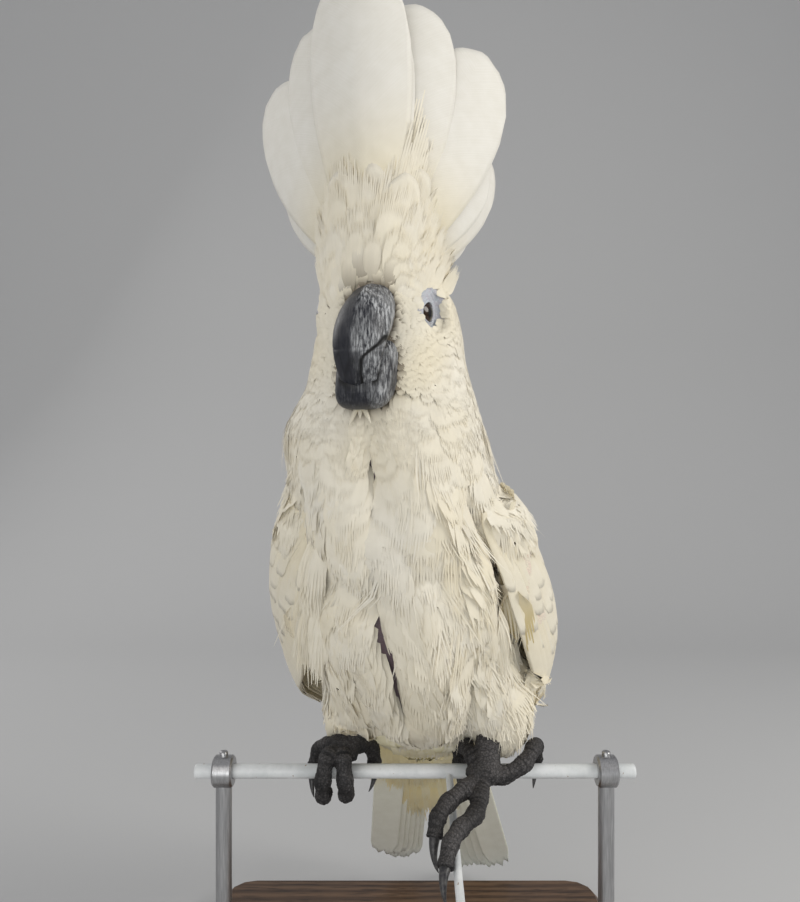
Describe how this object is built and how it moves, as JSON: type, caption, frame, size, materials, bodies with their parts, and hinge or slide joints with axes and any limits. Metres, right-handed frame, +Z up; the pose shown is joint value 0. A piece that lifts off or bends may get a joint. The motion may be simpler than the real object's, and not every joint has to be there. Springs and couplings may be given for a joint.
{
  "type": "white cockatoo on a cut length of wire rail",
  "caption": "Life-size white cockatoo with its crest raised and its head turned a little, gripping a short cut length of rail held by a plain display stand.",
  "frame": {"origin": "underside of the stand's base, straight below the rail's axis", "axes": "+Z up, -Y the way the bird faces, +X towards the bird's left"},
  "size_m": [0.22, 0.2313, 0.4762],
  "materials": {
    "plumage": "soft matte feathers, white with a cream tint, pale yellow under the wings and tail",
    "bill": "dark grey horn with pale powder and fine lengthwise scratches",
    "foot_skin": "dark grey scaled skin",
    "claw": "blackish horn",
    "eye": "wet and glossy, nearly black",
    "white_enamel": "satin white enamel",
    "stand_metal": "satin steel",
    "stand_wood": "dark stained and sealed"
  },
  "bodies": {
    "root": {"bill_lower": "bill", "bill_upper": "bill", "claw_left_1": "claw", "claw_left_2": "claw", "claw_left_3": "claw", "claw_left_4": "claw", "claw_right_1": "claw", "claw_right_2": "claw", "claw_right_3": "claw", "claw_right_4": "claw", "crest": "plumage", "eye_left": "eye", "eye_right": "eye", "flight_left": "plumage", "flight_right": "plumage", "foot_left": "foot_skin", "foot_right": "foot_skin", "head": "plumage", "leg_left": "plumage", "leg_right": "plumage", "neck": "plumage", "perch_rail": "white_enamel", "perch_wire": "white_enamel", "stand_base": "stand_wood", "stand_rod_left": "stand_metal", "stand_rod_right": "stand_metal", "tail_left": "plumage", "tail_right": "plumage", "trunk": "plumage", "wing_left": "plumage", "wing_right": "plumage"}
  },
  "joints": []
}
